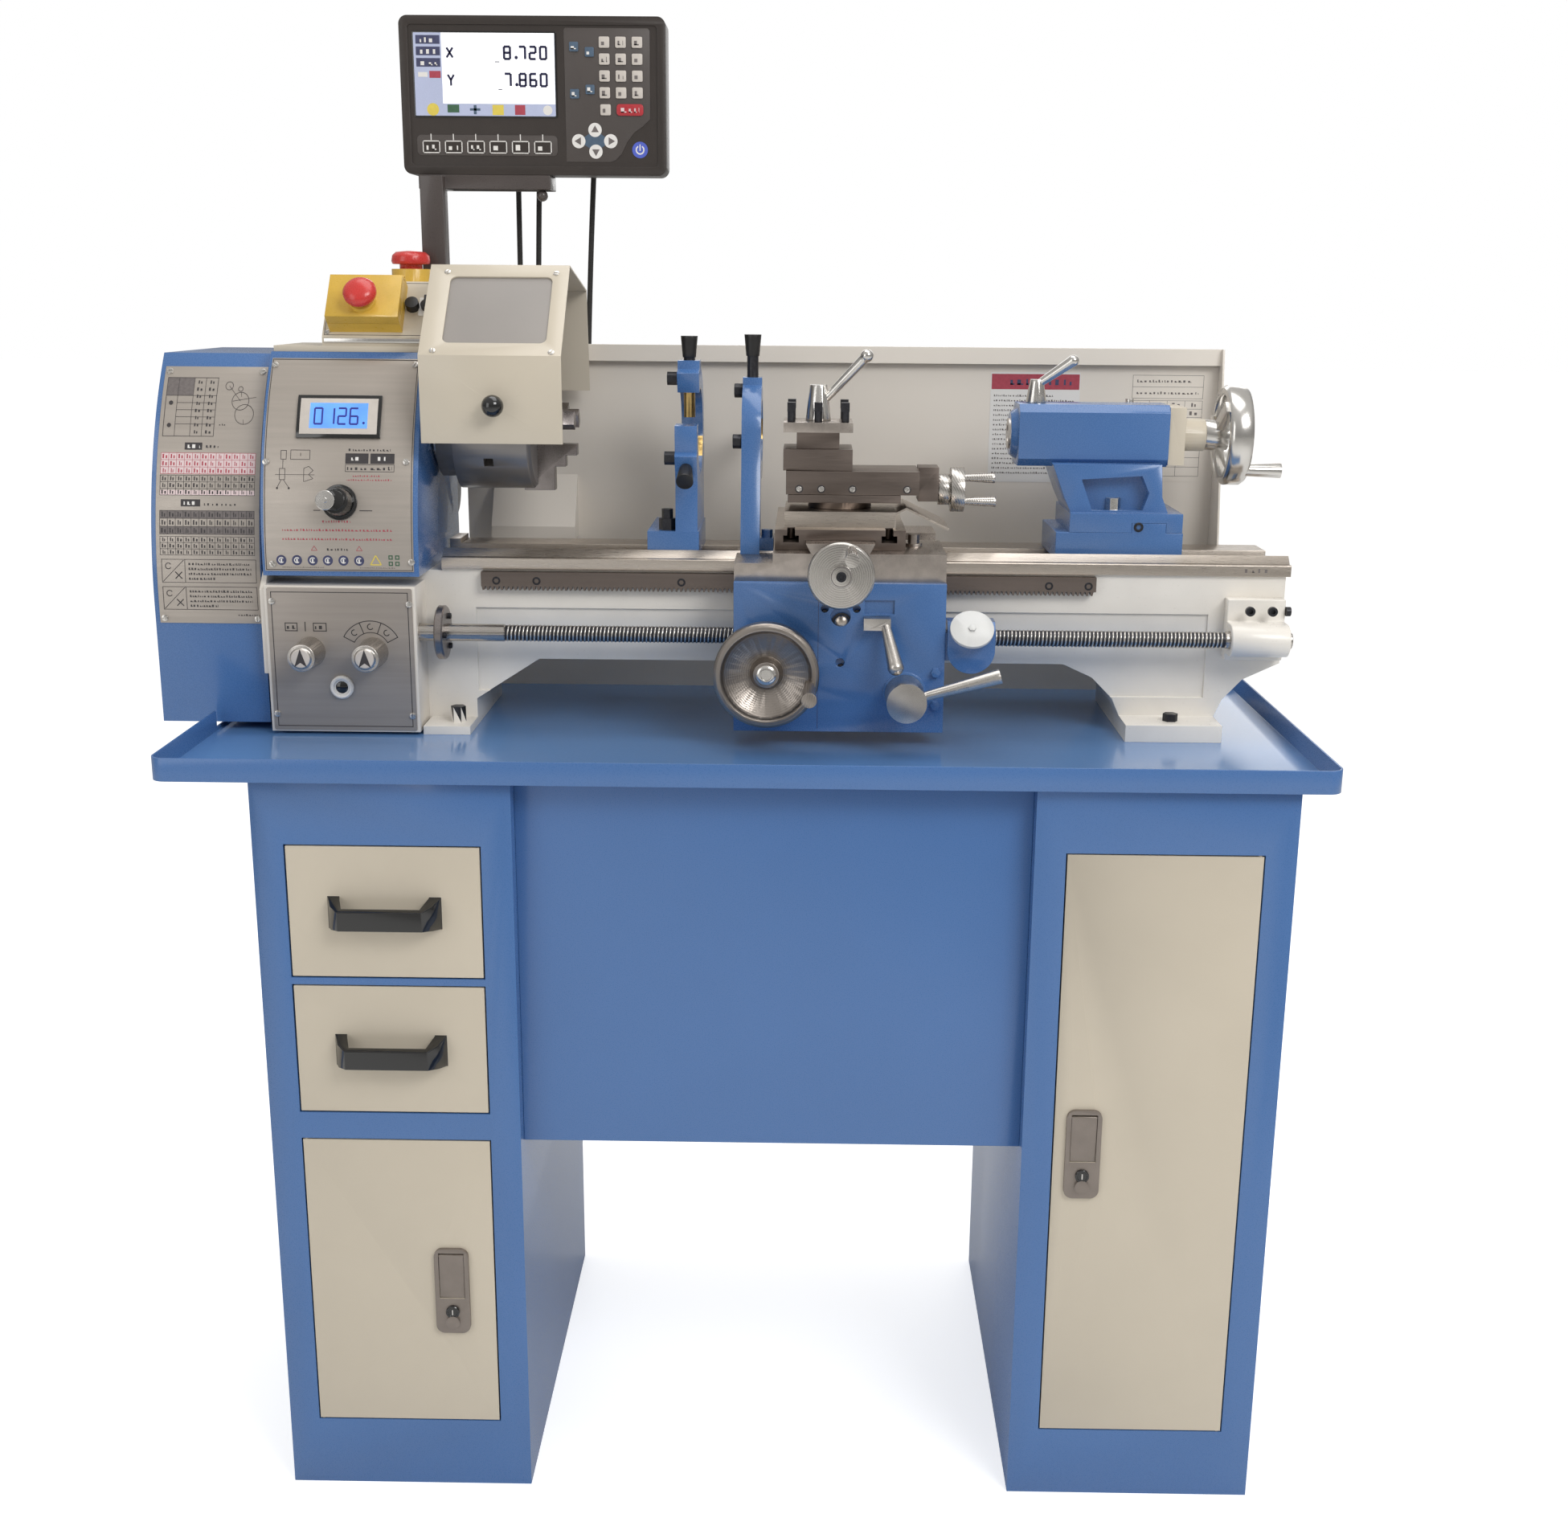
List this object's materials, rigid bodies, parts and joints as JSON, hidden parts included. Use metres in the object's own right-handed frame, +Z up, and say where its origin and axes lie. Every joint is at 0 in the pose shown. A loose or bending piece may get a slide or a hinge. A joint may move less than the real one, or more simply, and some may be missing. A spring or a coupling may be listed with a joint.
{
  "type": "bench metal lathe",
  "caption": "Bench engine lathe on a cabinet stand with a chip tray, three-jaw chuck and guard, carriage, tailstock, rests and digital readout.",
  "frame": {"origin": "centre of the four floor anchor holes, on the floor", "axes": "+X along the bed towards the tailstock, +Y to the back, +Z up"},
  "size_m": [1.182, 0.509, 1.498],
  "materials": {
    "blue_paint": "gloss",
    "cream_paint": "satin",
    "bed_paint": "satin",
    "ground_steel": "ground",
    "dark_steel": "satin",
    "bright_steel": "polished",
    "cast_alloy": "satin",
    "black_plastic": "matt",
    "grey_plastic": "matt",
    "yellow_plastic": "gloss",
    "red_plastic": "gloss",
    "clear_plastic": "clear",
    "rubber": "matt",
    "motor_paint": "satin",
    "handle_steel": "satin"
  },
  "bodies": {
    "machine": {"left_cabinet": "blue_paint", "right_cabinet": "blue_paint", "centre_panel": "blue_paint", "chip_tray": "blue_paint", "bed": "bed_paint", "rack": "ground_steel", "leadscrew_bracket": "bed_paint", "headstock": "blue_paint", "gearbox_housing": "bed_paint", "gear_cover": "blue_paint", "motor": "motor_paint", "drive_belt": "rubber", "splash_guard": "bed_paint", "control_box": "cream_paint", "dro_post": "grey_plastic", "dro_head": "grey_plastic", "dro_cables": "rubber"},
    "drawer_1": {"drawer_1": "cream_paint"},
    "drawer_2": {"drawer_2": "cream_paint"},
    "left_door": {"left_door": "cream_paint"},
    "right_door": {"right_door": "cream_paint"},
    "left_latch": {"left_latch": "handle_steel"},
    "right_latch": {"right_latch": "handle_steel"},
    "spindle": {"spindle": "ground_steel", "chuck_body": "dark_steel"},
    "jaw_1": {"chuck_jaw_1": "ground_steel"},
    "jaw_2": {"chuck_jaw_2": "ground_steel"},
    "jaw_3": {"chuck_jaw_3": "ground_steel"},
    "motor_pulley": {"motor_pulley": "cast_alloy"},
    "speed_knob": {"speed_knob": "black_plastic"},
    "feed_knob_left": {"feed_knob_left": "cast_alloy"},
    "feed_knob_right": {"feed_knob_right": "cast_alloy"},
    "estop_lid": {"estop_lid": "yellow_plastic"},
    "estop_button": {"estop_button": "red_plastic"},
    "rear_stop_button": {"rear_stop_button": "red_plastic"},
    "rotary_switch": {"rotary_switch": "black_plastic"},
    "chuck_guard": {"chuck_guard": "cream_paint", "guard_window": "clear_plastic"},
    "leadscrew": {"leadscrew": "ground_steel"},
    "carriage": {"saddle": "ground_steel", "apron": "blue_paint", "follow_rest": "blue_paint"},
    "apron_handwheel": {"apron_handwheel": "cast_alloy"},
    "cross_slide": {"cross_slide": "ground_steel"},
    "cross_handwheel": {"cross_handwheel": "cast_alloy"},
    "swivel_base": {"swivel_base": "ground_steel"},
    "compound_slide": {"compound_slide": "dark_steel"},
    "compound_handwheel": {"compound_handwheel": "cast_alloy"},
    "toolpost": {"toolpost": "dark_steel"},
    "toolpost_lever": {"toolpost_lever": "bright_steel"},
    "halfnut_lever": {"halfnut_lever": "cast_alloy"},
    "feed_lever": {"feed_lever": "cast_alloy"},
    "thread_dial": {"thread_dial": "clear_plastic"},
    "tailstock": {"tailstock_base": "blue_paint", "tailstock_body": "blue_paint"},
    "quill": {"quill": "bright_steel"},
    "tailstock_handwheel": {"tailstock_handwheel": "bright_steel"},
    "quill_lock_lever": {"quill_lock_lever": "bright_steel"},
    "tailstock_clamp_lever": {"tailstock_clamp_lever": "bright_steel"},
    "steady_rest": {"steady_rest": "blue_paint"}
  },
  "joints": [
    {"name": "drawer_1_slide", "type": "slide", "parent": "machine", "child": "drawer_1", "axis": [0, -1, 0], "range_m": [0, 0.3]},
    {"name": "drawer_2_slide", "type": "slide", "parent": "machine", "child": "drawer_2", "axis": [0, -1, 0], "range_m": [0, 0.3]},
    {"name": "left_door_hinge", "type": "hinge", "parent": "machine", "child": "left_door", "pos_m": [-0.4655, -0.233, 0.3], "axis": [0, 0, -1], "range_deg": [0, 110]},
    {"name": "right_door_hinge", "type": "hinge", "parent": "machine", "child": "right_door", "pos_m": [0.4655, -0.233, 0.3], "axis": [0, 0, 1], "range_deg": [0, 110]},
    {"name": "left_latch_hinge", "type": "hinge", "parent": "left_door", "child": "left_latch", "pos_m": [-0.3245, -0.2375, 0.267], "axis": [-1, 0, 0], "range_deg": [0, 35], "stiffness_Nm_per_rad": 0.3},
    {"name": "right_latch_hinge", "type": "hinge", "parent": "right_door", "child": "right_latch", "pos_m": [0.3105, -0.2375, 0.429], "axis": [-1, 0, 0], "range_deg": [0, 35], "stiffness_Nm_per_rad": 0.3},
    {"name": "spindle_turn", "type": "hinge", "parent": "machine", "child": "spindle", "pos_m": [-0.3, 0.066, 1.075], "axis": [1, 0, 0], "continuous": true},
    {"name": "jaw_1_slide", "type": "slide", "parent": "spindle", "child": "jaw_1", "axis": [0, 0, -1], "range_m": [-0.008, 0.008]},
    {"name": "jaw_2_slide", "type": "slide", "parent": "spindle", "child": "jaw_2", "axis": [0, -0.866, 0.5], "range_m": [-0.008, 0.008]},
    {"name": "jaw_3_slide", "type": "slide", "parent": "spindle", "child": "jaw_3", "axis": [0, 0.866, 0.5], "range_m": [-0.008, 0.008]},
    {"name": "motor_turn", "type": "hinge", "parent": "machine", "child": "motor_pulley", "pos_m": [-0.548, 0.205, 1], "axis": [1, 0, 0], "continuous": true},
    {"name": "speed_knob_turn", "type": "hinge", "parent": "machine", "child": "speed_knob", "pos_m": [-0.445, -0.05062, 1.008], "axis": [0, -0.9786, 0.2058], "range_deg": [-135, 135]},
    {"name": "feed_knob_left_turn", "type": "hinge", "parent": "machine", "child": "feed_knob_left", "pos_m": [-0.481, -0.06, 0.856], "axis": [0, -1, 0], "range_deg": [-40, 40]},
    {"name": "feed_knob_right_turn", "type": "hinge", "parent": "machine", "child": "feed_knob_right", "pos_m": [-0.416, -0.06, 0.856], "axis": [0, -1, 0], "range_deg": [-40, 40]},
    {"name": "estop_lid_hinge", "type": "hinge", "parent": "machine", "child": "estop_lid", "pos_m": [-0.4295, 0.05325, 1.22965], "axis": [-1, 0, 0], "range_deg": [0, 95]},
    {"name": "estop_press", "type": "slide", "parent": "estop_lid", "child": "estop_button", "axis": [0, 0.7863, -0.6178], "range_m": [0, 0.004], "stiffness_N_per_m": 1500},
    {"name": "rear_stop_press", "type": "slide", "parent": "machine", "child": "rear_stop_button", "axis": [0, 0, -1], "range_m": [0, 0.004], "stiffness_N_per_m": 1500},
    {"name": "rotary_switch_turn", "type": "hinge", "parent": "machine", "child": "rotary_switch", "pos_m": [-0.369, 0.05148, 1.19988], "axis": [0, -0.7863, 0.6178], "range_deg": [0, 90]},
    {"name": "chuck_guard_hinge", "type": "hinge", "parent": "machine", "child": "chuck_guard", "pos_m": [-0.357, 0.14, 1.142], "axis": [-1, 0, 0], "range_deg": [0, 38]},
    {"name": "leadscrew_turn", "type": "hinge", "parent": "machine", "child": "leadscrew", "pos_m": [0, -0.042, 0.874], "axis": [1, 0, 0], "continuous": true},
    {"name": "carriage_slide", "type": "slide", "parent": "machine", "child": "carriage", "axis": [1, 0, 0], "range_m": [-0.035, 0.035]},
    {"name": "apron_handwheel_turn", "type": "hinge", "parent": "carriage", "child": "apron_handwheel", "pos_m": [-0.01, -0.11, 0.848], "axis": [0, 1, 0], "range_deg": [-425, 425]},
    {"name": "cross_slide_feed", "type": "slide", "parent": "carriage", "child": "cross_slide", "axis": [0, 1, 0], "range_m": [-0.03, 0.04]},
    {"name": "cross_handwheel_turn", "type": "hinge", "parent": "carriage", "child": "cross_handwheel", "pos_m": [0.063, -0.13, 0.951], "axis": [0, 1, 0], "range_deg": [-5405, 7205]},
    {"name": "compound_swivel", "type": "hinge", "parent": "cross_slide", "child": "swivel_base", "pos_m": [0.063, 0.018, 1.005], "axis": [0, 0, 1], "range_deg": [-30, 45]},
    {"name": "compound_feed", "type": "slide", "parent": "swivel_base", "child": "compound_slide", "axis": [1, 0, 0], "range_m": [-0.012, 0.02]},
    {"name": "compound_handwheel_turn", "type": "hinge", "parent": "compound_slide", "child": "compound_handwheel", "pos_m": [0.178, 0.018, 1.02], "axis": [1, 0, 0], "range_deg": [-2170, 3610]},
    {"name": "toolpost_turn", "type": "hinge", "parent": "compound_slide", "child": "toolpost", "pos_m": [0.0395, 0.018, 1.06], "axis": [0, 0, 1], "continuous": true},
    {"name": "toolpost_lever_turn", "type": "hinge", "parent": "compound_slide", "child": "toolpost_lever", "pos_m": [0.0395, 0.018, 1.11], "axis": [0, 0, 1], "range_deg": [-70, 40]},
    {"name": "halfnut_lever_turn", "type": "hinge", "parent": "carriage", "child": "halfnut_lever", "pos_m": [0.101, -0.09, 0.897], "axis": [0, 1, 0], "range_deg": [0, 35]},
    {"name": "feed_lever_turn", "type": "hinge", "parent": "carriage", "child": "feed_lever", "pos_m": [0.13, -0.1, 0.824], "axis": [0, 1, 0], "range_deg": [-20, 20]},
    {"name": "thread_dial_turn", "type": "hinge", "parent": "carriage", "child": "thread_dial", "pos_m": [0.196, -0.092, 0.89], "axis": [0, -0.7071, 0.7071], "continuous": true},
    {"name": "tailstock_slide", "type": "slide", "parent": "machine", "child": "tailstock", "axis": [1, 0, 0], "range_m": [-0.02, 0.1]},
    {"name": "quill_slide", "type": "slide", "parent": "tailstock", "child": "quill", "axis": [-1, 0, 0], "range_m": [0, 0.06]},
    {"name": "tailstock_handwheel_turn", "type": "hinge", "parent": "tailstock", "child": "tailstock_handwheel", "pos_m": [0.47, 0.066, 1.075], "axis": [-1, 0, 0], "range_deg": [-5, 7205]},
    {"name": "quill_lock_turn", "type": "hinge", "parent": "tailstock", "child": "quill_lock_lever", "pos_m": [0.27, 0.066, 1.115], "axis": [0, 0, 1], "range_deg": [-60, 60]},
    {"name": "tailstock_clamp_turn", "type": "hinge", "parent": "tailstock", "child": "tailstock_clamp_lever", "pos_m": [0.378, 0.118, 1.011], "axis": [0, 1, 0], "range_deg": [-45, 45]},
    {"name": "steady_rest_slide", "type": "slide", "parent": "machine", "child": "steady_rest", "axis": [1, 0, 0], "range_m": [-0.05, 0.01]}
  ],
  "couplings": [
    {"joint": "jaw_2_slide", "follows": "jaw_1_slide", "ratio": 1},
    {"joint": "jaw_3_slide", "follows": "jaw_1_slide", "ratio": 1},
    {"joint": "motor_turn", "follows": "spindle_turn", "ratio": 2},
    {"joint": "apron_handwheel_turn", "follows": "carriage_slide", "rad_per_m": 209.44},
    {"joint": "cross_handwheel_turn", "follows": "cross_slide_feed", "rad_per_m": 3141.6},
    {"joint": "compound_handwheel_turn", "follows": "compound_feed", "rad_per_m": 3141.6},
    {"joint": "tailstock_handwheel_turn", "follows": "quill_slide", "rad_per_m": 2094.4}
  ]
}
